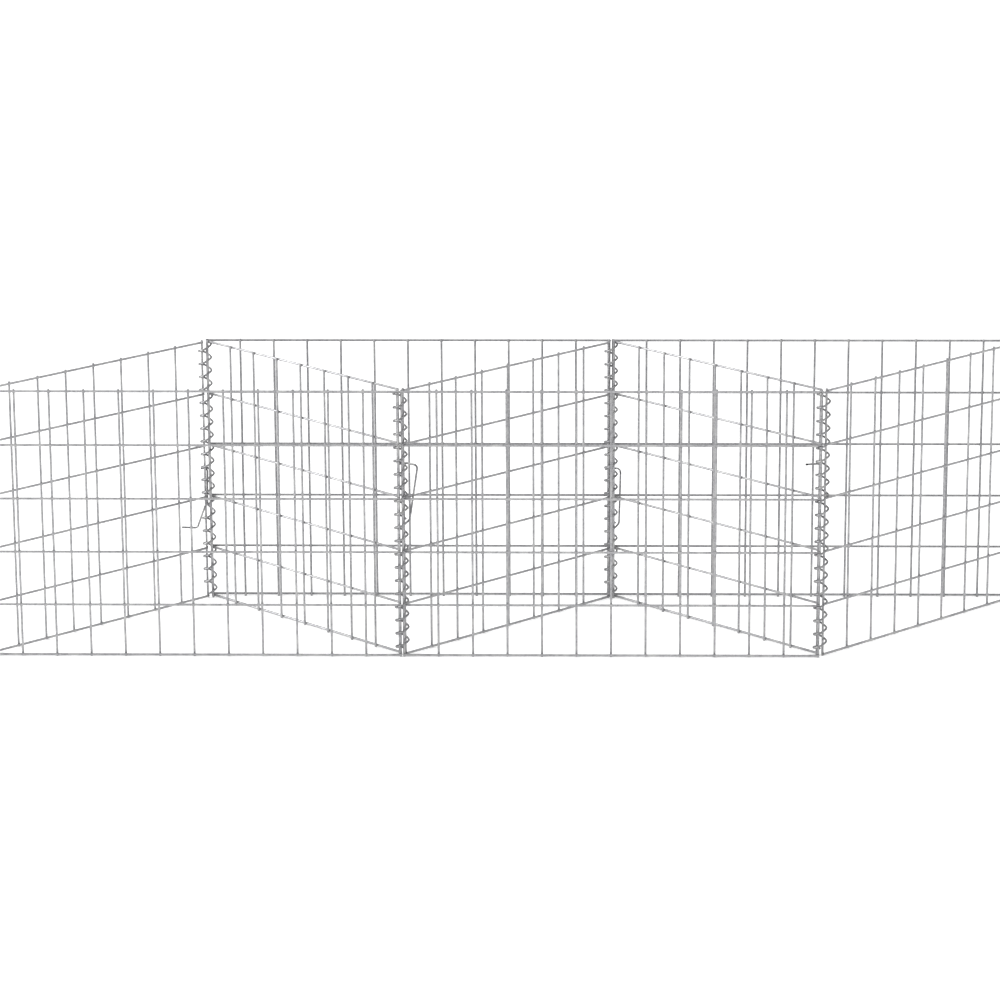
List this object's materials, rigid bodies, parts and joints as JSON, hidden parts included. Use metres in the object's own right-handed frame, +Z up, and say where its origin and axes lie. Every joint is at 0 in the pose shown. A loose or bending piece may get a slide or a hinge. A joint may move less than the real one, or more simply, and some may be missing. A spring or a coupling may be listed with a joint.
{
  "type": "gabion wall",
  "caption": "Empty welded-wire gabion wall in a zigzag plan: mesh panels on a front and a back line, zigzag panels between them, laced at every corner with steel spirals",
  "frame": {"origin": "on the ground at the centre of the wall's plan, at the foot of the middle upright wire of the middle zigzag panel", "axes": "+X along the wall from left to right, +Y from the front line of panels to the back line, +Z up"},
  "size_m": [1.551, 0.3066, 0.402],
  "materials": {
    "mesh_wire": "galvanised, light grey",
    "spiral_wire": "galvanised, slightly duller grey"
  },
  "bodies": {
    "root": {"front_panel_left": "mesh_wire", "front_panel_right": "mesh_wire", "back_panel_left": "mesh_wire", "back_panel_right": "mesh_wire", "zigzag_panel_1": "mesh_wire", "zigzag_panel_2": "mesh_wire", "zigzag_panel_3": "mesh_wire", "zigzag_panel_4": "mesh_wire", "zigzag_panel_5": "mesh_wire", "lower_spiral_front_left": "spiral_wire", "lower_spiral_back_left": "spiral_wire", "lower_spiral_front_middle": "spiral_wire", "lower_spiral_back_middle": "spiral_wire", "lower_spiral_front_right": "spiral_wire", "lower_spiral_back_right": "spiral_wire", "upper_spiral_front_left": "spiral_wire", "upper_spiral_back_left": "spiral_wire", "upper_spiral_front_middle": "spiral_wire", "upper_spiral_back_middle": "spiral_wire", "upper_spiral_front_right": "spiral_wire", "upper_spiral_back_right": "spiral_wire"}
  },
  "joints": []
}
